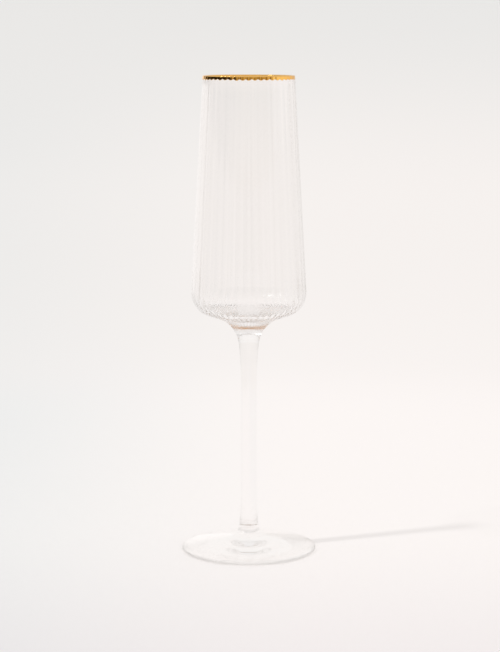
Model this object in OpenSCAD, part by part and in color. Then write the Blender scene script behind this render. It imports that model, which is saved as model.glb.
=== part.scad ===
// Champagne flute: a tall ribbed bowl, a slender solid stem, a shallow disc foot and a gilded lip.
// Everything but the ribs is turned about the Z axis. The origin is the centre of the resting plane.

/* [Overall] */
// Height from the resting plane to the top of the lip
flute_h = 250; // [235:1:270]

/* [Bowl] */
// Outer diameter at the lip
rim_d = 47.6; // [44:0.2:54]
// Outer diameter at the widest place, where the shoulder begins
bowl_d = 60.2; // [57:0.2:66]
// Height of the widest place
shoulder_h = 137.6; // [132:0.2:145]
// Outer radius of the rounded shoulder
shoulder_r = 12.5; // [11:0.5:15]
// Slope of the underside above the horizontal
underside_deg = 18; // [14:1:22]
// Wall thickness at the lip
lip_wall = 1.2; // [1:0.1:1.6]
// Wall thickness at the shoulder
shoulder_wall = 1.8; // [1.5:0.1:2.4]
// Radius of the dished floor inside
floor_r = 112; // [90:1:140]

/* [Ribs] */
// Number of upright ribs round the bowl
rib_count = 48; // [36:4:52]
// Depth of the valley between two ribs
valley_depth = 0.25; // [0.1:0.05:0.35]
// Radius of a valley's round bottom
valley_r = 0.9; // [0.6:0.1:1.1]

/* [Stem] */
// Diameter at the waist
stem_d = 7.9; // [7:0.1:9]
// Radius of the fillet between the stem and the bowl's underside
neck_r = 16; // [13:0.5:19]
// How far the stem has swelled on each side where that fillet is narrowest
neck_swell = 1.25; // [0.8:0.05:1.6]
// Radius of the long curve by which the stem swells upwards
upper_taper_r = 250; // [200:5:300]
// Radius of the long curve by which the stem swells downwards
lower_taper_r = 220; // [180:5:260]
// Height of the fused joint between the bowl and the stem
bowl_joint_h = 115; // [113:0.5:118]

/* [Foot] */
// Diameter of the foot
foot_d = 71; // [66:0.5:76]
// Thickness of the foot's rounded edge
foot_edge = 1.5; // [1.2:0.1:2]
// Slope of the foot's upper face
foot_slope_deg = 11.5; // [9:0.5:13]
// Radius of the fillet between the foot and the stem
ankle_r = 8; // [6:0.5:10]
// How far the stem has swelled on each side where that fillet is narrowest
ankle_swell = 1; // [0.7:0.05:1.4]
// Height of the hollow under the middle of the foot
hollow_h = 2.2; // [1.5:0.1:3]
// Width of the flat ring that the foot rests on
rest_ring_w = 2.4; // [1.5:0.1:4]
// Height of the fused joint between the stem and the foot
foot_joint_h = 14; // [13:0.5:15]

/* [Gilded lip] */
// Height of the gilded band outside
band_h = 2.3; // [1.5:0.1:4]
// Height of the gilded band inside
band_inner_h = 0.9; // [0.6:0.1:1.5]
// Thickness of the gilding over a rib
gilding = 0.4; // [0.4:0.05:0.5]
// Thickness of the gilding inside
inner_gilding = 0.15; // [0.1:0.05:0.25]

/* [Hidden] */
$fn = 144;
long_curve_fn = 720; // sides of a circle of which only a short arc is used
past = 1; // how far a cutting shape reaches past what it cuts
joining = 0.04; // how much larger than a valley the balls are that join its stretches

rim_r = rim_d / 2;
stem_r = stem_d / 2;
edge_r = foot_edge / 2;

// Points below are [radius, height]. The shoulder is an arc about one centre, outside and inside.
shoulder_c = [bowl_d / 2 - shoulder_r, shoulder_h];
inner_shoulder_r = shoulder_r - shoulder_wall;

// Unit vector at an angle above the horizontal
function away(deg) = [cos(deg), sin(deg)];
// Angle, about the centre of a circle, of the point whose tangent passes through p
function tangent_deg(p, c, r) = atan2(p[1] - c[1], p[0] - c[0]) - acos(r / norm(p - c));
// Point of a sloping line at a radius, when the line passes p and falls inwards by slope_deg
function under_line(p, slope_deg, r) = [r, p[1] - (p[0] - r) * tan(slope_deg)];

// Outer side of the bowl: from the lip, tangent to the shoulder
side_lean = tangent_deg([rim_r, flute_h], shoulder_c, shoulder_r);
side_foot = shoulder_c + shoulder_r * away(side_lean);
// Inner side of the bowl
inner_rim_r = rim_r - lip_wall;
inner_lean = tangent_deg([inner_rim_r, flute_h], shoulder_c, inner_shoulder_r);
inner_side_foot = shoulder_c + inner_shoulder_r * away(inner_lean);
// Centre of the floor's sphere, which the inner shoulder meets without a step
floor_c = [0, shoulder_h + sqrt(pow(floor_r - inner_shoulder_r, 2) - pow(shoulder_c[0], 2))];
floor_edge = floor_c + floor_r * (shoulder_c - floor_c) / norm(shoulder_c - floor_c);

// Underside of the bowl: a straight slope from the shoulder to the neck fillet
under_start = shoulder_c + shoulder_r * away(underside_deg - 90);
neck_x = stem_r + neck_swell + neck_r;
under_end = under_line(under_start, underside_deg, neck_x - neck_r * sin(underside_deg));
neck_c = under_end + neck_r * away(underside_deg - 90);
// The stem's upper curve touches the neck fillet from outside
upper_c = [
  stem_r + upper_taper_r,
  neck_c[1] - sqrt(pow(upper_taper_r - neck_r, 2) - pow(stem_r + upper_taper_r - neck_x, 2))
];
upper_meet = upper_c + upper_taper_r * (neck_c - upper_c) / norm(neck_c - upper_c);

// Upper face of the foot: a straight slope from the rounded edge to the ankle fillet
edge_c = [foot_d / 2 - edge_r, edge_r];
slope_start = edge_c + edge_r * away(90 - foot_slope_deg);
ankle_x = stem_r + ankle_swell + ankle_r;
slope_end = under_line(slope_start, -foot_slope_deg, ankle_x - ankle_r * sin(foot_slope_deg));
ankle_c = slope_end + ankle_r * away(90 - foot_slope_deg);
// The stem's lower curve touches the ankle fillet from outside
lower_c = [
  stem_r + lower_taper_r,
  ankle_c[1] + sqrt(pow(lower_taper_r - ankle_r, 2) - pow(stem_r + lower_taper_r - ankle_x, 2))
];
lower_meet = lower_c + lower_taper_r * (ankle_c - lower_c) / norm(ankle_c - lower_c);
// Sphere that hollows the foot's underside, inside the resting ring
hollow_edge_r = edge_c[0] - rest_ring_w;
hollow_r = (pow(hollow_edge_r, 2) + pow(hollow_h, 2)) / (2 * hollow_h);

// Disc in the [radius, height] plane
module disc(centre, r, fn = $fn) {
  translate(centre)
    circle(r, $fn = fn);
}

// Half outline of the stem, from the foot's slope to the bowl's underside, with both fillets
module stem_outline() {
  difference() {
    polygon([
      [0, slope_end[1]],
      slope_end,
      lower_meet,
      [stem_r, lower_c[1]],
      [stem_r, upper_c[1]],
      upper_meet,
      under_end,
      [0, under_end[1]]
    ]);
    disc(neck_c, neck_r);
    disc(ankle_c, ankle_r);
    between(upper_c[1], upper_meet[1])
      disc(upper_c, upper_taper_r, long_curve_fn);
    between(lower_meet[1], lower_c[1])
      disc(lower_c, lower_taper_r, long_curve_fn);
  }
}

// Slice of a half outline between two heights
module between(low, high) {
  intersection() {
    translate([0, low])
      square([bowl_d, high - low]);
    children();
  }
}

// Half outline of the bowl above the underside's slope, filled in and dipping into the neck
module bowl_outline() {
  polygon([
    [0, under_end[1] - past],
    under_end,
    under_start,
    shoulder_c,
    side_foot,
    [rim_r, flute_h],
    [0, flute_h]
  ]);
  disc(shoulder_c, shoulder_r);
}

// Half outline of the space inside the bowl
module cavity_outline() {
  polygon([
    [0, floor_edge[1]],
    floor_edge,
    shoulder_c,
    inner_side_foot,
    [inner_rim_r, flute_h],
    [inner_rim_r, flute_h + past],
    [0, flute_h + past]
  ]);
  disc(shoulder_c, inner_shoulder_r);
  intersection() {
    disc(floor_c, floor_r, long_curve_fn);
    square([floor_edge[0], shoulder_h]);
  }
}

// One valley, in the XZ plane: along the underside, round the shoulder and up the side.
// It is drawn about the shoulder's centre, from where the shoulder meets the underside,
// and a ball joins each pair of its three stretches.
module valley() {
  turn = side_lean + 90 - underside_deg;
  reach = shoulder_r + valley_r - valley_depth;
  translate([shoulder_c[0], 0, shoulder_c[1]])
    rotate([90, 0, 0])
      rotate([0, 0, underside_deg - 90]) {
        translate([reach, 0, 0]) {
          rotate([90, 0, 0])
            cylinder(r = valley_r, h = norm(under_start - under_end));
          sphere(valley_r + joining);
        }
        rotate_extrude(angle = turn)
          translate([reach, 0])
            circle(valley_r);
        rotate([0, 0, turn])
          translate([reach, 0, 0]) {
            rotate([-90, 0, 0])
              cylinder(r = valley_r, h = norm([rim_r, flute_h] - side_foot) + past);
            sphere(valley_r + joining);
          }
      }
}

// Every valley round the bowl, with a rib between two valleys on the X axis
module valleys() {
  for (i = [0:rib_count - 1])
    rotate([0, 0, (i + 0.5) * 360 / rib_count])
      valley();
}

// The room that the gilding takes from the lip, as a half outline
module band_outline() {
  low = flute_h - band_h;
  low_r = rim_r + band_h * tan(side_lean);
  inner_low = flute_h - band_inner_h;
  inner_low_r = inner_rim_r + band_inner_h * tan(inner_lean);
  polygon([
    [low_r - gilding, low],
    [low_r + past, low],
    [rim_r + past, flute_h],
    [inner_rim_r - past, flute_h],
    [inner_low_r - past, inner_low],
    [inner_low_r + inner_gilding, inner_low],
    [inner_rim_r + inner_gilding, flute_h - inner_gilding],
    [rim_r - gilding, flute_h - inner_gilding]
  ]);
}

// Ribbed glass bowl, down to the fused joint with the stem
module bowl() {
  color([0.93, 0.95, 0.95, 0.45])
    difference() {
      rotate_extrude()
        difference() {
          union() {
            bowl_outline();
            between(bowl_joint_h, under_end[1])
              stem_outline();
          }
          cavity_outline();
          band_outline();
        }
      valleys();
    }
}

// Solid glass stem
module stem() {
  color([0.9, 0.93, 0.94, 0.45])
    rotate_extrude()
      between(foot_joint_h, bowl_joint_h)
        stem_outline();
}

// Glass foot, hollowed underneath so that it rests on a ring
module foot() {
  color([0.91, 0.94, 0.95, 0.45])
    difference() {
      rotate_extrude()
        union() {
          polygon([
            [0, 0],
            [edge_c[0], 0],
            edge_c,
            slope_start,
            slope_end,
            [0, slope_end[1] + past]
          ]);
          intersection() {
            disc(edge_c, edge_r, 48);
            square([foot_d, foot_edge]);
          }
          between(slope_end[1], foot_joint_h)
            stem_outline();
        }
      translate([0, 0, hollow_h - hollow_r])
        sphere(hollow_r, $fn = long_curve_fn);
    }
}

// Gilding over the lip, ribbed outside as the glass is
module gilded_lip() {
  color([0.83, 0.62, 0.27])
    difference() {
      rotate_extrude()
        intersection() {
          band_outline();
          polygon([
            [0, shoulder_h],
            side_foot,
            [rim_r, flute_h],
            [inner_rim_r, flute_h],
            inner_side_foot
          ]);
        }
      valleys();
    }
}

bowl();
stem();
foot();
gilded_lip();
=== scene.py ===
import math

import bpy
import numpy as np
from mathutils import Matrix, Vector


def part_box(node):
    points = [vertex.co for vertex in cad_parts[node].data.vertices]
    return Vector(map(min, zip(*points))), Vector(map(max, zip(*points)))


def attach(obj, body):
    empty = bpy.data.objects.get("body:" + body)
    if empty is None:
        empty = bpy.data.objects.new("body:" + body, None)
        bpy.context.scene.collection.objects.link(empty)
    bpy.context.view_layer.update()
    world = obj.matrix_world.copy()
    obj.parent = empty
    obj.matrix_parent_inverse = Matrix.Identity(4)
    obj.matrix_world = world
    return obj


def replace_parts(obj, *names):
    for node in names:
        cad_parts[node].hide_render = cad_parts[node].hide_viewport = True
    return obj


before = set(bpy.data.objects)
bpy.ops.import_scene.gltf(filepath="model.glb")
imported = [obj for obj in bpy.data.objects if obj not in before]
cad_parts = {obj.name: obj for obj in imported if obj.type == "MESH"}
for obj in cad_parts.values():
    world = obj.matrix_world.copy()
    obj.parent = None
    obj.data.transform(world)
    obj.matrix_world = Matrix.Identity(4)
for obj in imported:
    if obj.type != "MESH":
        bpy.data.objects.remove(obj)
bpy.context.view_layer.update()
MM = 0.001
SEED = 7

# ---------------------------------------------------------------- sizes
# The top, the joints, the foot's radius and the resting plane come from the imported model. The rest repeats
# the part's driving sizes, but for the ribs' depths, softness and fading, and the gilding's film, bead,
# lobes and unevenness.
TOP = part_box("gilded_lip")[1].z
BOWL_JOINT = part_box("bowl")[0].z
FOOT_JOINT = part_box("foot")[1].z
FOOT_R = min(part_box("foot")[1].x, -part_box("foot")[0].x)
REST_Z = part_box("foot")[0].z

RIM_R = 23.8 * MM
WIDEST_R = 30.1 * MM
SHOULDER_Z = 137.6 * MM
SHOULDER_R = 12.5 * MM
UNDERSIDE_DEG = 18.0
LIP_WALL = 1.2 * MM
SHOULDER_WALL = 1.8 * MM
FLOOR_R = 112 * MM  # of the dished floor inside the bowl

RIB_COUNT = 48
RIB_DEPTH = 0.14 * MM  # on the sides and over the lip
UNDER_RIB_DEPTH = 0.32 * MM  # under the bowl, where the ribs draw together
RIB_SOFTNESS = 0.10  # how rounded the valley between two ribs is
RIB_COLUMNS = 12  # columns of the mesh to each rib
SIDE_RIBS_START = (6 * MM, 19 * MM)  # radii between which the side's ribs grow out of the neck
UNDER_RIBS_START = (6 * MM, 15 * MM)
UNDER_RIBS_END = (20 * MM, 28 * MM)

STEM_R = 3.95 * MM
NECK_R = 16 * MM
NECK_SWELL = 1.25 * MM
UPPER_TAPER_R = 250 * MM
LOWER_TAPER_R = 220 * MM
STEM_COLUMNS = 144

FOOT_EDGE = 1.5 * MM
FOOT_SLOPE_DEG = 11.5
ANKLE_R = 8 * MM
ANKLE_SWELL = 1.0 * MM
HOLLOW_H = 2.2 * MM
REST_RING_W = 2.4 * MM
FOOT_COLUMNS = 192

BAND_H = 2.3 * MM
BAND_INNER_H = 0.9 * MM
LOBE = 0.58 * MM  # how far the gilding runs further down a rib than into a valley
BAND_LEAST_H = 1.0 * MM
BAND_MOST_H = BAND_H + 0.15 * MM
BAND_UNEVEN = 0.6 * MM  # scale of the band's uneven lower edge
GILDING = 0.045 * MM
GILDING_GAP = 0.004 * MM  # keeps the film off the glass
GILDING_BEAD = 0.035 * MM  # how much thicker the gilding is at its lower edge


# ---------------------------------------------------------------- outlines, as [radius, height]
def away(deg):
    """Unit vector at an angle above the horizontal."""
    return np.array([math.cos(math.radians(deg)), math.sin(math.radians(deg))])


def tangent_deg(point, centre, r):
    """Angle, about a circle's centre, of the point whose tangent passes through a point outside."""
    d = point - centre
    return math.degrees(math.atan2(d[1], d[0]) - math.acos(r / np.linalg.norm(d)))


def down_slope(point, deg, r):
    """Point at a radius on the line that passes a point and falls inwards."""
    return np.array([r, point[1] - (point[0] - r) * math.tan(math.radians(deg))])


def arc(centre, r, start, end, steps):
    return [centre + r * away(a) for a in np.linspace(start, end, steps + 1)]


def line(start, end, steps):
    return [start + (end - start) * t for t in np.linspace(0, 1, steps + 1)]


def deg_about(point, centre):
    """Angle of a point about a centre."""
    return math.degrees(math.atan2(point[1] - centre[1], point[0] - centre[0]))


def level_deg(z, centre, r):
    """Angle, on the inward half of a circle, of the point at a height."""
    return 180 - math.degrees(math.asin((z - centre[1]) / r))


def join(*stretches):
    """One outline from stretches that each start where the last one ended."""
    points = list(stretches[0])
    for s in stretches[1:]:
        points += list(s)[1:]
    return np.array(points)


shoulder_c = np.array([WIDEST_R - SHOULDER_R, SHOULDER_Z])
inner_shoulder_r = SHOULDER_R - SHOULDER_WALL
rim = np.array([RIM_R, TOP])
inner_rim = np.array([RIM_R - LIP_WALL, TOP])
side_lean = tangent_deg(rim, shoulder_c, SHOULDER_R)
inner_lean = tangent_deg(inner_rim, shoulder_c, inner_shoulder_r)
side_foot = shoulder_c + SHOULDER_R * away(side_lean)
inner_side_foot = shoulder_c + inner_shoulder_r * away(inner_lean)
floor_c = np.array([0, SHOULDER_Z + math.sqrt((FLOOR_R - inner_shoulder_r) ** 2 - shoulder_c[0] ** 2)])
floor_edge = floor_c + FLOOR_R * (shoulder_c - floor_c) / np.linalg.norm(shoulder_c - floor_c)

under_start = shoulder_c + SHOULDER_R * away(UNDERSIDE_DEG - 90)
neck_x = STEM_R + NECK_SWELL + NECK_R
under_end_r = neck_x - NECK_R * math.sin(math.radians(UNDERSIDE_DEG))
under_end = down_slope(under_start, UNDERSIDE_DEG, under_end_r)
neck_c = under_end + NECK_R * away(UNDERSIDE_DEG - 90)
upper_c = np.array([
    STEM_R + UPPER_TAPER_R,
    neck_c[1] - math.sqrt((UPPER_TAPER_R - NECK_R) ** 2 - (STEM_R + UPPER_TAPER_R - neck_x) ** 2),
])
upper_meet = upper_c + UPPER_TAPER_R * (neck_c - upper_c) / np.linalg.norm(neck_c - upper_c)

edge_r = FOOT_EDGE / 2
edge_c = np.array([FOOT_R - edge_r, REST_Z + edge_r])
slope_start = edge_c + edge_r * away(90 - FOOT_SLOPE_DEG)
ankle_x = STEM_R + ANKLE_SWELL + ANKLE_R
slope_end_r = ankle_x - ANKLE_R * math.sin(math.radians(FOOT_SLOPE_DEG))
slope_end = down_slope(slope_start, -FOOT_SLOPE_DEG, slope_end_r)
ankle_c = slope_end + ANKLE_R * away(90 - FOOT_SLOPE_DEG)
lower_c = np.array([
    STEM_R + LOWER_TAPER_R,
    ankle_c[1] + math.sqrt((LOWER_TAPER_R - ANKLE_R) ** 2 - (STEM_R + LOWER_TAPER_R - ankle_x) ** 2),
])
lower_meet = lower_c + LOWER_TAPER_R * (ankle_c - lower_c) / np.linalg.norm(ankle_c - lower_c)


# ---------------------------------------------------------------- mesh helpers
def smoothstep(low, high, x):
    """0 up to low, 1 from high on, and smooth between them."""
    t = np.clip((x - low) / (high - low), 0, 1)
    return t * t * (3 - 2 * t)


def normals_of(outline):
    """Unit normals of an outline, to the right of its direction."""
    t = np.gradient(outline, axis=0)
    n = np.stack([t[:, 1], -t[:, 0]], 1)
    return n / np.linalg.norm(n, axis=1)[:, None]


def turns_of(columns):
    return np.arange(columns) * 2 * math.pi / columns


def spokes_of(columns):
    """Unit vectors [column, xy] all the way round the axis."""
    turns = turns_of(columns)
    return np.stack([np.cos(turns), np.sin(turns)], 1)


def new_piece(name, verts, faces, materials):
    mesh = bpy.data.meshes.new(name)
    mesh.from_pydata(verts, [], faces)
    for m in materials:
        mesh.materials.append(m)
    mesh.polygons.foreach_set("use_smooth", [True] * len(faces))
    mesh.update()
    piece = bpy.data.objects.new(name, mesh)
    bpy.context.scene.collection.objects.link(piece)
    return piece


def sheet(name, grid, material, closed=False):
    """A piece from rows of rings, as [row, column, xyz]. If closed, the last row joins the first."""
    rows, cols = grid.shape[:2]
    faces = []
    for j in range(rows if closed else rows - 1):
        a, b = j * cols, ((j + 1) % rows) * cols
        for i in range(cols):
            k = (i + 1) % cols
            faces.append((a + i, a + k, b + k, b + i))
    return new_piece(name, grid.reshape(-1, 3).tolist(), faces, [material])


def solid(name, rings, heights, materials, joints):
    """A closed solid from rings of [x, y] and their heights. Its first and last ring are points on the
    axis. joints are the steps between rings that are fused faces: flat, and of the second material."""
    rows, cols = rings.shape[:2]
    heights = np.broadcast_to(np.asarray(heights).reshape(rows, -1), (rows, cols))
    verts = [(0.0, 0.0, float(heights[0, 0]))]
    for j in range(1, rows - 1):
        verts += [(float(x), float(y), float(z)) for (x, y), z in zip(rings[j], heights[j])]
    verts.append((0.0, 0.0, float(heights[-1, 0])))
    end = len(verts) - 1
    faces, steps = [], []
    for i in range(cols):
        k = (i + 1) % cols
        faces.append((0, 1 + k, 1 + i))
        steps.append(0)
        for j in range(1, rows - 2):
            a, b = 1 + (j - 1) * cols, 1 + j * cols
            faces.append((a + i, a + k, b + k, b + i))
            steps.append(j)
        a = 1 + (rows - 3) * cols
        faces.append((a + i, a + k, end))
        steps.append(rows - 2)
    piece = new_piece(name, verts, faces, materials)
    mesh = piece.data
    fused = [s in joints for s in steps]
    mesh.polygons.foreach_set("material_index", [int(f) for f in fused])
    mesh.polygons.foreach_set("use_smooth", [not f for f in fused])
    mesh.update()
    sides = {}
    for poly, f in zip(mesh.polygons, fused):
        for key in poly.edge_keys:
            sides.setdefault(key, set()).add(f)
    for edge in mesh.edges:
        edge.use_edge_sharp = len(sides[tuple(sorted(edge.vertices))]) == 2
    return piece


def revolve(name, outline, columns, materials, joints):
    """A closed solid of revolution from an outline that starts and ends on the axis."""
    rings = outline[:, 0][:, None, None] * spokes_of(columns)[None]
    return solid(name, rings, outline[:, 1], materials, joints)


# ---------------------------------------------------------------- node helpers
WHITE = (1, 1, 1, 1)


def grey(v):
    return (v, v, v, 1)


def new_material(name):
    m = bpy.data.materials.new(name)
    m.use_nodes = True
    m.node_tree.nodes.clear()
    return m, m.node_tree


def node(tree, kind, **inputs):
    """A node whose inputs, and attributes behind set_, are given by name."""
    n = tree.nodes.new(kind)
    for key, value in inputs.items():
        if key.startswith("set_"):
            setattr(n, key[4:], value)
    for key, value in inputs.items():
        if not key.startswith("set_"):
            n.inputs[key.replace("_", " ")].default_value = value
    return n


def feed(tree, socket, value):
    """Link a socket to another node's output, or set it to a plain value."""
    if isinstance(value, bpy.types.NodeSocket):
        tree.links.new(value, socket)
    else:
        socket.default_value = value


def math_node(tree, operation, a, b=None):
    n = node(tree, "ShaderNodeMath", set_operation=operation)
    feed(tree, n.inputs[0], a)
    if b is not None:
        feed(tree, n.inputs[1], b)
    return n.outputs[0]


def product(tree, *values):
    """Product of two or more numbers."""
    total = values[0]
    for v in values[1:]:
        total = math_node(tree, "MULTIPLY", total, v)
    return total


def ramp(tree, value, low, high, out_low=0.0, out_high=1.0):
    """A smooth step, out_low where the value is up to low and out_high where it is from high on."""
    n = node(tree, "ShaderNodeMapRange", set_interpolation_type="SMOOTHSTEP")
    tree.links.new(value, n.inputs["Value"])
    n.inputs["From Min"].default_value = low
    n.inputs["From Max"].default_value = high
    n.inputs["To Min"].default_value = out_low
    n.inputs["To Max"].default_value = out_high
    return n.outputs["Result"]


def mix_colour(tree, factor, a, b, blend="MIX"):
    """Colour a where the factor is 0, and b where it is 1."""
    n = node(tree, "ShaderNodeMix", set_data_type="RGBA", set_blend_type=blend)
    first, second, result = n.inputs[6], n.inputs[7], n.outputs[2]  # the node's sockets for colours
    feed(tree, n.inputs["Factor"], factor)
    feed(tree, first, a)
    feed(tree, second, b)
    return result


def multiply(tree, a, b):
    """Product of two colours."""
    return mix_colour(tree, 1.0, a, b, "MULTIPLY")


def split_xyz(tree, vector):
    n = node(tree, "ShaderNodeSeparateXYZ")
    tree.links.new(vector, n.inputs[0])
    return n.outputs[0], n.outputs[1], n.outputs[2]


def noise(tree, vector, size, detail, roughness):
    n = node(tree, "ShaderNodeTexNoise", Scale=1 / size, Detail=detail, Roughness=roughness)
    tree.links.new(vector, n.inputs["Vector"])
    return n.outputs["Fac"]


def surface(tree, shader):
    out = node(tree, "ShaderNodeOutputMaterial")
    tree.links.new(shader, out.inputs["Surface"])


# ---------------------------------------------------------------- materials
IOR = 1.51
WARMTH = (1.0, 0.9965, 0.995, 1)
# Grey of the painted shade that darkens the glass's colour at outlines and rib valleys
PAINTED_SHADE_GREY = (0.48, 0.47, 0.46, 1)
GOLD = (0.93, 0.55, 0.14, 1)
RED_GOLD = (0.88, 0.46, 0.10, 1)
WORN_GOLD = (0.72, 0.44, 0.15, 1)
STROKE_SIZE = 1 / 900
PATCH_SIZE = 1 / 160


def glass(name, waviness, wave_size, seed_size, shadow, edge_shadow, tint, edge_painted_shade, edge_power, deep):
    """Clear glass with the faint waves of blown or drawn work, with painted shade in its colour where it is
    seen edge on, for dark outlines. Lamp light passes it, dimmed more at its outline. Tints and shadows are
    greys, 0 to 1. deep gives, from the position and how edge on the surface is, how far painted shade
    darkens the colour."""
    m, tree = new_material(name)
    links = tree.links
    place = node(tree, "ShaderNodeTexCoord").outputs["Object"]
    bump = node(tree, "ShaderNodeBump", Strength=waviness, Distance=0.2 * MM)
    links.new(noise(tree, place, wave_size, 1.0, 0.4), bump.inputs["Height"])
    body = node(
        tree,
        "ShaderNodeBsdfPrincipled",
        IOR=IOR,
        Transmission_Weight=1.0,
        Specular_IOR_Level=0.5,
    )
    seeds = ramp(tree, noise(tree, place, seed_size, 2.0, 0.5), 0.45, 0.8, 0.0, 0.012)
    links.new(seeds, body.inputs["Roughness"])
    links.new(bump.outputs["Normal"], body.inputs["Normal"])
    facing = node(tree, "ShaderNodeLayerWeight", Blend=0.5).outputs["Facing"]
    edge_on = math_node(tree, "POWER", facing, edge_power)
    # Painted shade: the glass's faint real tint, greyed where the surface is seen edge on, for dark outlines
    tint_and_edge_shade = multiply(tree, mix_colour(tree, edge_on, grey(tint), grey(edge_painted_shade)), WARMTH)
    # Painted shade, from the position and how edge on the surface is
    painted_shade = mix_colour(tree, deep(tree, place, facing), WHITE, PAINTED_SHADE_GREY)
    links.new(multiply(tree, tint_and_edge_shade, painted_shade), body.inputs["Base Color"])
    outline = math_node(tree, "POWER", facing, 5.0)
    passing = node(tree, "ShaderNodeBsdfTransparent")
    links.new(mix_colour(tree, outline, grey(shadow), grey(edge_shadow)), passing.inputs["Color"])
    path = node(tree, "ShaderNodeLightPath")
    mix = node(tree, "ShaderNodeMixShader")
    links.new(path.outputs["Is Shadow Ray"], mix.inputs[0])
    links.new(body.outputs[0], mix.inputs[1])
    links.new(passing.outputs[0], mix.inputs[2])
    surface(tree, mix.outputs[0])
    return m


def painted_shade_at_shoulder(tree, position, facing):
    """Painted shade on the bowl: its outline round its shoulder, and under it the valleys between the ribs.
    """
    x, y, z = split_xyz(tree, position)
    low = ramp(tree, z, SHOULDER_Z - 4 * MM, SHOULDER_Z + 16 * MM, 1.0, 0.0)
    outline = product(tree, low, math_node(tree, "POWER", facing, 5.0))
    under = ramp(tree, z, SHOULDER_Z - 13 * MM, SHOULDER_Z - 8 * MM, 1.0, 0.0)
    neck = ramp(tree, z, SHOULDER_Z - 20 * MM, SHOULDER_Z - 17 * MM)
    turn = math_node(tree, "ARCTAN2", y, x)
    rib = math_node(tree, "COSINE", product(tree, turn, float(RIB_COUNT)))
    valley = ramp(tree, rib, -1.0, -0.1, 1.0, 0.0)
    base = product(tree, under, math_node(tree, "POWER", facing, 1.5), neck, valley, 0.9)
    return math_node(tree, "MAXIMUM", outline, base)


def painted_shade_at_ends(tree, position, facing):
    """Painted shade on the stem's outline, where it swells into the bowl and the foot."""
    z = split_xyz(tree, position)[2]
    upper = ramp(tree, z, BOWL_JOINT - 11 * MM, BOWL_JOINT - 3 * MM)
    lower = ramp(tree, z, FOOT_JOINT + 2 * MM, FOOT_JOINT + 6 * MM, 1.0, 0.0)
    return product(tree, math_node(tree, "MAXIMUM", upper, lower), math_node(tree, "POWER", facing, 2.0))


def painted_shade_at_rim(tree, position, facing):
    """Painted shade on the foot's rounded edge, from every side."""
    x, y, _ = split_xyz(tree, position)
    flat = node(tree, "ShaderNodeCombineXYZ")
    tree.links.new(x, flat.inputs[0])
    tree.links.new(y, flat.inputs[1])
    out = node(tree, "ShaderNodeVectorMath", set_operation="LENGTH")
    tree.links.new(flat.outputs[0], out.inputs[0])
    return ramp(tree, out.outputs["Value"], FOOT_R - 1.4 * MM, FOOT_R, 0.0, 0.35)


def fused_joint():
    """Where two glass pieces are fused nothing is seen, so light goes straight through."""
    m, tree = new_material("fused_joint")
    surface(tree, node(tree, "ShaderNodeBsdfTransparent").outputs[0])
    return m


def gold():
    """Bright fired gilding, with fine strokes, redder in patches and duller where it is worn on top."""
    m, tree = new_material("gilding")
    links = tree.links
    place = node(tree, "ShaderNodeTexCoord").outputs["Object"]
    strokes_at = node(tree, "ShaderNodeMapping")
    strokes_at.inputs["Scale"].default_value = (1, 1, 6)
    links.new(place, strokes_at.inputs["Vector"])
    strokes = noise(tree, strokes_at.outputs["Vector"], STROKE_SIZE, 3.0, 0.6)
    patches = noise(tree, place, PATCH_SIZE, 3.0, 0.55)
    tone = mix_colour(tree, ramp(tree, patches, 0.3, 0.7), GOLD, RED_GOLD)
    worn = ramp(tree, split_xyz(tree, place)[2], TOP - 0.55 * MM, TOP - 0.15 * MM)
    tone = mix_colour(tree, worn, tone, WORN_GOLD)
    bump = node(tree, "ShaderNodeBump", Strength=0.12, Distance=0.02 * MM)
    links.new(strokes, bump.inputs["Height"])
    body = node(tree, "ShaderNodeBsdfPrincipled", Metallic=1.0)
    links.new(tone, body.inputs["Base Color"])
    links.new(ramp(tree, strokes, 0.3, 0.75, 0.05, 0.15), body.inputs["Roughness"])
    links.new(bump.outputs["Normal"], body.inputs["Normal"])
    surface(tree, body.outputs[0])
    return m


bowl_glass = glass(
    "bowl_glass",
    waviness=0.004,
    wave_size=14 * MM,
    seed_size=1.5 * MM,
    shadow=0.985,
    edge_shadow=0.85,
    tint=0.997,
    edge_painted_shade=0.62,
    edge_power=6.0,
    deep=painted_shade_at_shoulder,
)
stem_glass = glass(
    "stem_glass",
    waviness=0.004,
    wave_size=12 * MM,
    seed_size=1.5 * MM,
    shadow=0.52,
    edge_shadow=0.3,
    tint=0.998,
    edge_painted_shade=0.55,
    edge_power=6.0,
    deep=painted_shade_at_ends,
)
foot_glass = glass(
    "foot_glass",
    waviness=0.006,
    wave_size=14 * MM,
    seed_size=1.8 * MM,
    shadow=0.99,
    edge_shadow=0.8,
    tint=0.999,
    edge_painted_shade=0.75,
    edge_power=18.0,
    deep=painted_shade_at_rim,
)
joint_face = fused_joint()
gilding = gold()


# ---------------------------------------------------------------- bowl
def rib_height(columns):
    """Height of the ribs' rounded crests, from 0 in a valley to 1 on a crest. A crest lies on +X."""
    t = np.arange(columns) * RIB_COUNT / columns
    from_valley = 1 - 2 * np.abs(t - np.round(t))
    s = np.sqrt(from_valley**2 + RIB_SOFTNESS**2) - RIB_SOFTNESS
    s = s / (math.sqrt(1 + RIB_SOFTNESS**2) - RIB_SOFTNESS)
    return 2 * s - s * s


COLUMNS = RIB_COUNT * RIB_COLUMNS
crest = rib_height(COLUMNS)
angles = turns_of(COLUMNS)
spokes = spokes_of(COLUMNS)


def rib_depths(outline):
    """How deep the valleys are along the bowl's outside: none at the neck, deepest under the bowl."""
    r, z = outline.T
    on_side = RIB_DEPTH * smoothstep(*SIDE_RIBS_START, r)
    below = smoothstep(*UNDER_RIBS_START, r) * (1 - smoothstep(*UNDER_RIBS_END, r))
    below[z > SHOULDER_Z] = 0
    return np.maximum(on_side, UNDER_RIB_DEPTH * below)


def over_lip(t):
    """How deep the valleys still are over the lip, from its outside at 0 to its inside at 1."""
    return RIB_DEPTH * (1 - smoothstep(0.1, 0.6, t))


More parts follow.
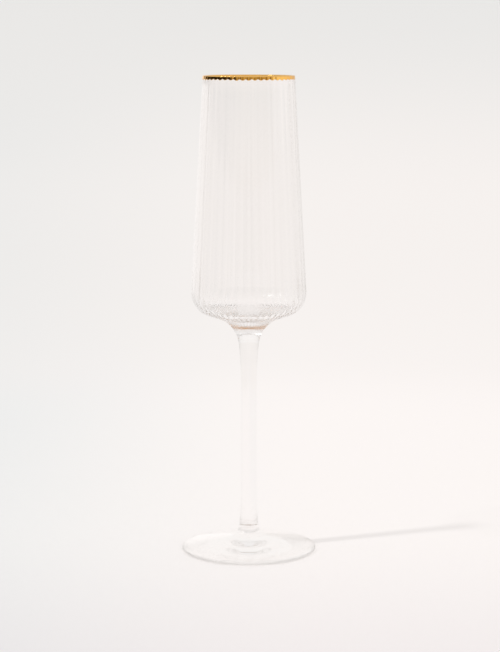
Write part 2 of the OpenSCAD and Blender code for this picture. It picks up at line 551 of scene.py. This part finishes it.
def ribbed(outline, depth):
    """Rings [row, column, xy] and heights of an outline whose ribs stand between it and depth below it."""
    n = normals_of(outline)
    cut = depth[:, None] * (1 - crest)[None]
    r = outline[:, 0][:, None] - n[:, 0][:, None] * cut
    z = outline[:, 1][:, None] - n[:, 1][:, None] * cut
    return r[:, :, None] * spokes[None], z


lip_r = LIP_WALL / 2 - GILDING - GILDING_GAP
lip_c = np.array([RIM_R - LIP_WALL / 2, TOP - GILDING - GILDING_GAP - lip_r])
lip_out = lip_c + lip_r * away(side_lean)
lip_in = lip_c + lip_r * away(180 + inner_lean)
joint_deg = level_deg(BOWL_JOINT, neck_c, NECK_R)
outer = join(
    arc(neck_c, NECK_R, joint_deg, joint_deg - 1, 3),
    arc(neck_c, NECK_R, joint_deg - 1, 90 + UNDERSIDE_DEG, 16),
    line(under_end, under_start, 8),
    arc(shoulder_c, SHOULDER_R, UNDERSIDE_DEG - 90, side_lean, 36),
    line(side_foot, lip_out, 22),
)
lip = np.array(arc(lip_c, lip_r, side_lean, 180 + inner_lean, 14))
inner = join(
    line(lip_in, inner_side_foot, 14),
    arc(shoulder_c, inner_shoulder_r, inner_lean, deg_about(floor_edge, shoulder_c), 22),
    arc(floor_c, FLOOR_R, deg_about(floor_edge, floor_c), -90, 14),
)
wall = np.vstack([outer, lip[1:-1], inner])
lip_rows = np.linspace(0, 1, len(lip) - 2)
depth = np.concatenate([rib_depths(outer), over_lip(lip_rows), np.zeros(len(inner))])
rings, heights = ribbed(wall, depth)
axis_point = np.zeros((1, COLUMNS, 2))
rings = np.concatenate([axis_point, rings[:-1], axis_point])
heights = np.concatenate([np.full((1, COLUMNS), BOWL_JOINT), heights])
bowl = solid("bowl_glass", rings, heights, [bowl_glass, joint_face], joints=(0,))
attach(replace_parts(bowl, "bowl"), "root")

# ---------------------------------------------------------------- stem
foot_joint_deg = level_deg(FOOT_JOINT, ankle_c, ANKLE_R)
meet_deg = deg_about(lower_meet, ankle_c) % 360
upper_deg = deg_about(upper_meet, neck_c) % 360
stem_side = join(
    arc(ankle_c, ANKLE_R, foot_joint_deg, foot_joint_deg - 1, 3),
    arc(ankle_c, ANKLE_R, foot_joint_deg - 1, meet_deg, 8),
    arc(lower_c, LOWER_TAPER_R, deg_about(lower_meet, lower_c) % 360, 180, 14),
    line(np.array([STEM_R, lower_c[1]]), np.array([STEM_R, upper_c[1]]), 12),
    arc(upper_c, UPPER_TAPER_R, 180, deg_about(upper_meet, upper_c) % 360, 14),
    arc(neck_c, NECK_R, upper_deg, joint_deg + 1, 8),
    arc(neck_c, NECK_R, joint_deg + 1, joint_deg, 3),
)
stem_outline = np.vstack([[0, FOOT_JOINT], stem_side, [0, BOWL_JOINT]])
stem_joints = (0, len(stem_outline) - 2)
stem = revolve("stem_glass", stem_outline, STEM_COLUMNS, [stem_glass, joint_face], stem_joints)
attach(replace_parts(stem, "stem"), "root")

# ---------------------------------------------------------------- foot
hollow_edge_r = edge_c[0] - REST_RING_W
hollow_r = (hollow_edge_r**2 + HOLLOW_H**2) / (2 * HOLLOW_H)
hollow_c = np.array([0, REST_Z + HOLLOW_H - hollow_r])
ring_out = np.array([edge_c[0], REST_Z])
ring_in = np.array([hollow_edge_r, REST_Z])
foot_side = join(
    arc(hollow_c, hollow_r, 90, deg_about(ring_in, hollow_c), 24)[:-1] + [ring_in],
    line(ring_in, ring_out, 4),
    arc(edge_c, edge_r, -90, 90 - FOOT_SLOPE_DEG, 14),
    line(slope_start, slope_end, 16),
    arc(ankle_c, ANKLE_R, 270 - FOOT_SLOPE_DEG, foot_joint_deg + 1, 16),
    arc(ankle_c, ANKLE_R, foot_joint_deg + 1, foot_joint_deg, 3),
)
foot_outline = np.vstack([foot_side, [0, FOOT_JOINT]])
foot_joints = (len(foot_outline) - 2,)
foot = revolve("foot_glass", foot_outline, FOOT_COLUMNS, [foot_glass, joint_face], foot_joints)
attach(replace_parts(foot, "foot"), "root")


# ---------------------------------------------------------------- gilded lip
def band_edges():
    """How far below the top the gilding ends at each column, outside in a lobe on each rib, and inside."""
    rng = np.random.default_rng(SEED)
    wander = sum(
        rng.uniform(0.02, 0.07) * np.sin(k * angles + rng.uniform(0, 2 * math.pi)) for k in (3, 7, 13, 29)
    )
    lobes = np.repeat(rng.uniform(-0.12, 0.12, RIB_COUNT), RIB_COLUMNS)
    lobes = np.roll(lobes, RIB_COLUMNS // 2)
    outside = BAND_H - LOBE * (1 - crest**1.3) + (wander + lobes * crest) * BAND_UNEVEN
    return np.clip(outside, BAND_LEAST_H, BAND_MOST_H), BAND_INNER_H * (1 + wander)


def skin(lift, bead, outside, inside):
    """Radii and heights [row, column] of a skin at a distance off the glass, from its scalloped edge
    outside, over the lip, to its edge inside. At the outer edge it stands off by the bead as well."""
    reach = lip_r + lift
    start = lip_c + reach * away(side_lean)
    end = lip_c + reach * away(180 + inner_lean)
    ribs = RIB_DEPTH * (1 - crest)
    rows = []
    for u in np.linspace(1, 0, 11):
        down = (outside - (TOP - start[1])) * u
        r = start[0] + bead * u + math.tan(math.radians(side_lean)) * down
        rows.append((r - ribs * away(side_lean)[0], start[1] - down - ribs * away(side_lean)[1]))
    lip_degs = np.linspace(side_lean, 180 + inner_lean, len(lip_rows) + 2)[1:-1]
    for deg, t in zip(lip_degs, lip_rows):
        p = lip_c + reach * away(deg)
        ribs = over_lip(t) * (1 - crest)
        rows.append((p[0] - away(deg)[0] * ribs, p[1] - away(deg)[1] * ribs))
    for u in np.linspace(0, 1, 5):
        down = (inside - (TOP - end[1])) * u
        rows.append((end[0] + math.tan(math.radians(inner_lean)) * down, end[1] - down))
    r, z = zip(*rows)
    return np.array(r), np.array(z)


def gilded_lip():
    """A thin closed shell over the lip, whose lower edge hangs in a lobe on each rib."""
    edges = band_edges()
    r_in, z_in = skin(GILDING_GAP, 0.0, *edges)
    r_out, z_out = skin(GILDING_GAP + GILDING, GILDING_BEAD, *edges)
    r = np.concatenate([r_out, r_in[::-1]])
    z = np.concatenate([z_out, z_in[::-1]])
    grid = np.concatenate([r[:, :, None] * spokes[None], z[:, :, None]], 2)
    return sheet("gilded_lip_band", grid, gilding, closed=True)


band = gilded_lip()
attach(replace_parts(band, "gilded_lip"), "root")

# ---------------------------------------------------------------- stage
FLOOR_TONE = (0.845, 0.806, 0.787, 1)
FLOOR_LEFT_PAINTED_SHADE = (0.86, 0.91, 0.925, 1)  # how much dimmer the floor's colour is painted at the far left, painted shade for the light's falloff
FLOOR_NEAR_PAINTED_SHADE = (0.893, 0.885, 0.905, 1)  # and towards the viewer, painted shade as well
FLOOR_REACH = 0.66
FLOOR_FADE = (0.35, 0.62)  # where, from the foot outwards, the floor gives way to the backdrop
FLOOR_GAP = 0.02 * MM


def floor_material():
    m, tree = new_material("stage_floor")
    links = tree.links
    place = node(tree, "ShaderNodeTexCoord").outputs["Object"]
    x, y, _ = split_xyz(tree, place)
    path = node(tree, "ShaderNodeLightPath")
    # Through glass the floor's left is painted no dimmer than it is just beside the foot
    least = ramp(tree, path.outputs["Is Transmission Ray"], 0.0, 1.0, -1.0, -0.04)
    across = math_node(tree, "MAXIMUM", x, least)
    # Painted shade: the floor's colour darkens to the left and towards the viewer
    side = mix_colour(tree, ramp(tree, across, -0.25, 0.045), FLOOR_LEFT_PAINTED_SHADE, WHITE)
    near = mix_colour(tree, ramp(tree, y, -0.3, 0.06), FLOOR_NEAR_PAINTED_SHADE, WHITE)
    body = node(tree, "ShaderNodeBsdfDiffuse")
    links.new(multiply(tree, multiply(tree, FLOOR_TONE, side), near), body.inputs["Color"])
    far = node(tree, "ShaderNodeVectorMath", set_operation="LENGTH")
    links.new(place, far.inputs[0])
    gone = node(tree, "ShaderNodeBsdfTransparent")
    mix = node(tree, "ShaderNodeMixShader")
    links.new(ramp(tree, far.outputs["Value"], *FLOOR_FADE), mix.inputs[0])
    links.new(body.outputs[0], mix.inputs[1])
    links.new(gone.outputs[0], mix.inputs[2])
    surface(tree, mix.outputs[0])
    return m


def stage_floor():
    """A pale disc, its colour painted dimmer to the left and towards the viewer as painted shade, that fades
    out, so that the plain backdrop carries on from it in every view.
    """
    radii = np.concatenate([[0.5 * MM], np.linspace(0.02, FLOOR_REACH, 33)])
    rings = radii[:, None, None] * spokes_of(96)[None]
    heights = np.full(rings.shape[:2] + (1,), REST_Z - FLOOR_GAP)
    return sheet("stage_floor", np.concatenate([rings, heights], 2), floor_material())


stage_floor()

# Key light, from the left and a little in front, high enough for a short shadow
KEY_FROM = Vector((-0.935, -0.355, 0.87)).normalized()
KEY_STRENGTH = 0.95
KEY_WIDTH_DEG = 3.6
key_data = bpy.data.lights.new("key", "SUN")
key_data.energy = KEY_STRENGTH
key_data.angle = math.radians(KEY_WIDTH_DEG)
key = bpy.data.objects.new("key", key_data)
key.rotation_mode = "QUATERNION"
key.rotation_quaternion = KEY_FROM.to_track_quat("Z", "Y")
key.visible_glossy = False
key.visible_transmission = False
bpy.context.scene.collection.objects.link(key)


# ---------------------------------------------------------------- surroundings
# They aren't one physical room. What is seen directly, what the glass bends, what faces mirror and what
# lights the floor differ, and were tuned by comparing tones with the photo. x, y and z point along a ray.
FLOOR_LIGHT = (0.955, 0.955, 0.955, 1)  # even light on the floor, besides the key light

BACKDROP_LOW = (0.978, 0.932, 0.912, 1)
BACKDROP_MIDDLE = (0.922, 0.884, 0.860, 1)
BACKDROP_HIGH = (0.817, 0.808, 0.793, 1)
BACKDROP_LEFT = (0.905, 0.938, 0.949, 1)  # how much dimmer and cooler it is at the left

STRIPES = 40.0  # in a full turn
BENT_STRIPE = (0.3, 0.29, 0.28, 1)
BENT_LEVEL = (0.93, 0.89, 0.865, 1)
BENT_ASIDE = (0.92, 0.88, 0.853, 1)
BENT_ABOVE = (0.95, 0.92, 0.90, 1)
BENT_VIEWER = (0.97, 0.90, 0.86, 1)
BENT_ROOM = (0.64, 0.62, 0.60, 1)
BENT_OVERHEAD = (0.88, 0.86, 0.85, 1)
BENT_TO_AND_FRO = (0.36, 0.27, 0.19, 1)
BENT_KEY_GLOW = (1.3, 1.28, 1.26, 1)
BENT_KEY = (6.0, 5.9, 5.8, 1)

UPRIGHTS = 14.0  # in a full turn
ROOM_DARK = (0.24, 0.18, 0.10, 1)
ROOM_PALE = (0.62, 0.52, 0.33, 1)
ROOM_LEFT = (0.008, 0.004, 0.003, 1)
ROOM_RIGHT = (1.05, 1.0, 0.96, 1)
TABLE_DARK = (0.52, 0.50, 0.47, 1)
TABLE_PALE = (0.84, 0.80, 0.77, 1)
TABLE_LEFT = (0.60, 0.57, 0.55, 1)
TABLE_RIGHT = (0.80, 0.77, 0.74, 1)
BACK_LEFT = (1.12, 1.09, 1.07, 1)
BACK_RIGHT = (0.80, 0.77, 0.74, 1)
MIRRORED_ABOVE = (0.93, 0.91, 0.89, 1)
MIRRORED_BELOW = (0.90, 0.87, 0.85, 1)
MIRRORED_KEY = (14.0, 13.6, 13.2, 1)


def backdrop(tree, z, across):
    """The plain backdrop, a little dimmer and cooler towards the left where it is low."""
    low = ramp(tree, z, -0.26, -0.10)
    high = ramp(tree, z, -0.085, 0.03)
    tone = mix_colour(tree, low, BACKDROP_LOW, BACKDROP_MIDDLE)
    tone = mix_colour(tree, high, tone, BACKDROP_HIGH)
    dim = mix_colour(tree, ramp(tree, across, -0.2, 0.04), BACKDROP_LEFT, WHITE)
    above = ramp(tree, z, -0.06, 0.02)
    return multiply(tree, tone, mix_colour(tree, above, dim, WHITE))


def bent(tree, x, y, z, path):
    """What the glass bends towards the camera."""
    # Whether the light has passed a single solid, such as the stem, or several walls
    one_piece = math_node(tree, "LESS_THAN", path.outputs["Transmission Depth"], 2.5)
    walls = math_node(tree, "SUBTRACT", 1.0, one_piece)
    off_axis = math_node(tree, "ABSOLUTE", x)

    # The backdrop, and through the bowl's walls faint upright stripes before it
    azimuth = math_node(tree, "ARCTAN2", x, y)  # 0 towards +Y, positive towards +X
    stripes = math_node(tree, "COSINE", product(tree, azimuth, STRIPES))
    stripes = product(tree, ramp(tree, stripes, -1.0, 1.0, 0.08, 0.0), ramp(tree, z, -0.2, -0.14), walls)
    tone = backdrop(tree, z, math_node(tree, "MAXIMUM", x, -0.03))
    tone = mix_colour(tree, stripes, tone, BENT_STRIPE)

    # Plainer through a single solid, to the sides and above
    level = product(tree, one_piece, ramp(tree, z, -0.14, -0.07))
    tone = mix_colour(tree, level, tone, BENT_LEVEL)
    tone = mix_colour(tree, ramp(tree, off_axis, 0.08, 0.2), tone, BENT_ASIDE)
    tone = mix_colour(tree, ramp(tree, z, 0.0, 0.06), tone, BENT_ABOVE)

    # The viewer's side, with a darker room above its pale table, and overhead
    viewer_side = ramp(tree, y, -0.22, -0.04, 1.0, 0.0)
    tone = mix_colour(tree, viewer_side, tone, BENT_VIEWER)
    room = product(tree, viewer_side, ramp(tree, z, 0.03, 0.10))
    tone = mix_colour(tree, room, tone, BENT_ROOM)
    tone = mix_colour(tree, ramp(tree, z, 0.55, 0.8), tone, BENT_OVERHEAD)

    # Light that has gone to and fro in the bowl's base is dimmer and browner
    to_and_fro = product(tree, ramp(tree, path.outputs["Ray Depth"], 5.5, 9.0), walls)
    off_level = math_node(tree, "ABSOLUTE", math_node(tree, "ADD", z, 0.07))
    to_and_fro = product(tree, to_and_fro, ramp(tree, off_level, 0.11, 0.14))
    to_and_fro = product(tree, to_and_fro, ramp(tree, off_axis, 0.25, 0.45, 1.0, 0.0))
    return multiply(tree, tone, mix_colour(tree, to_and_fro, WHITE, BENT_TO_AND_FRO))


def mirrored(tree, x, y, z):
    """What the glass's faces and the gilding mirror: a room of uprights over a paler table."""
    side = math_node(tree, "ARCTAN2", x, product(tree, y, -1.0))  # 0 towards -Y, positive towards +X
    left = ramp(tree, side, -0.95, -0.3, 1.0, 0.0)
    right = ramp(tree, side, 0.85, 1.3)
    uprights = ramp(tree, math_node(tree, "COSINE", product(tree, side, UPRIGHTS)), -1.0, 1.0)

    room = mix_colour(tree, uprights, ROOM_DARK, ROOM_PALE)
    room = mix_colour(tree, right, room, ROOM_RIGHT)
    room = mix_colour(tree, left, room, ROOM_LEFT)
    room = mix_colour(tree, ramp(tree, side, -2.6, -2.45, 1.0, 0.0), room, BACK_LEFT)

    table = mix_colour(tree, uprights, TABLE_DARK, TABLE_PALE)
    table = mix_colour(tree, right, table, TABLE_RIGHT)
    table = mix_colour(tree, left, table, TABLE_LEFT)
    table = mix_colour(tree, ramp(tree, side, -2.12, -1.95, 1.0, 0.0), table, BACK_LEFT)

    # Both are plain behind on the right, and so is what is higher or lower than they are
    tone = mix_colour(tree, ramp(tree, z, 0.028, 0.042), table, room)
    tone = mix_colour(tree, ramp(tree, side, 2.1, 2.4), tone, BACK_RIGHT)
    tone = mix_colour(tree, ramp(tree, z, 0.12, 0.3), tone, MIRRORED_ABOVE)
    return mix_colour(tree, ramp(tree, z, -0.2, -0.08, 1.0, 0.0), tone, MIRRORED_BELOW)


def studio_world():
    world = bpy.data.worlds.new("studio")
    bpy.context.scene.world = world
    world.use_nodes = True
    tree = world.node_tree
    tree.nodes.clear()
    place = node(tree, "ShaderNodeTexCoord").outputs["Generated"]
    x, y, z = split_xyz(tree, place)
    path = node(tree, "ShaderNodeLightPath")
    through = bent(tree, x, y, z, path)
    off_faces = mirrored(tree, x, y, z)

    # The key light's panel, which the glass bends with a soft surround
    to_key = node(tree, "ShaderNodeVectorMath", set_operation="DOT_PRODUCT")
    tree.links.new(place, to_key.inputs[0])
    to_key.inputs[1].default_value = KEY_FROM
    near_key = to_key.outputs["Value"]
    surround = ramp(tree, near_key, math.cos(math.radians(22)), math.cos(math.radians(12)))
    panel = ramp(tree, near_key, math.cos(math.radians(6)), math.cos(math.radians(4)))
    through = mix_colour(tree, surround, through, BENT_KEY_GLOW)
    through = mix_colour(tree, panel, through, BENT_KEY)
    off_faces = mix_colour(tree, panel, off_faces, MIRRORED_KEY)

    # Which of them a ray meets. After a bounce off the floor it is always the floor's own even light
    seen = mix_colour(tree, path.outputs["Is Glossy Ray"], FLOOR_LIGHT, off_faces)
    seen = mix_colour(tree, path.outputs["Is Transmission Ray"], seen, through)
    off_floor = math_node(tree, "GREATER_THAN", path.outputs["Diffuse Depth"], 0.5)
    seen = mix_colour(tree, off_floor, seen, FLOOR_LIGHT)
    seen = mix_colour(tree, path.outputs["Is Camera Ray"], seen, backdrop(tree, z, x))
    light = node(tree, "ShaderNodeBackground", Strength=1.0)
    tree.links.new(seen, light.inputs["Color"])
    out = node(tree, "ShaderNodeOutputWorld")
    tree.links.new(light.outputs[0], out.inputs["Surface"])
    world.cycles.sampling_method = "NONE"


studio_world()

# ---------------------------------------------------------------- camera
# About a metre in front, a little above the rim and tipped down
EYE = Vector((0.0, -0.969, 0.265))
PITCH_DEG = 8.53
YAW_DEG = 0.037
LENS_MM = 103.2
SENSOR_MM = 36
cam_data = bpy.data.cameras.new("camera")
cam_data.lens = LENS_MM
cam_data.sensor_width = SENSOR_MM
cam_data.clip_start = 0.01
cam_data.clip_end = 20
cam = bpy.data.objects.new("camera", cam_data)
cam.location = EYE
cam.rotation_euler = (math.radians(90 - PITCH_DEG), 0, math.radians(-YAW_DEG))
bpy.context.scene.collection.objects.link(cam)
bpy.context.scene.camera = cam

# ---------------------------------------------------------------- render settings
BOUNCES = 160  # light is passed on many times between the ribs and walls in the bowl's base
scene = bpy.context.scene
scene.view_settings.view_transform = "Standard"
scene.cycles.max_bounces = BOUNCES
scene.cycles.transmission_bounces = BOUNCES
scene.cycles.glossy_bounces = BOUNCES
scene.cycles.transparent_max_bounces = 32
scene.cycles.sample_clamp_indirect = 4.0
scene.cycles.blur_glossy = 0.0  # glass blurred after a bounce off the floor loses light under the foot
scene.cycles.denoising_input_passes = "RGB"
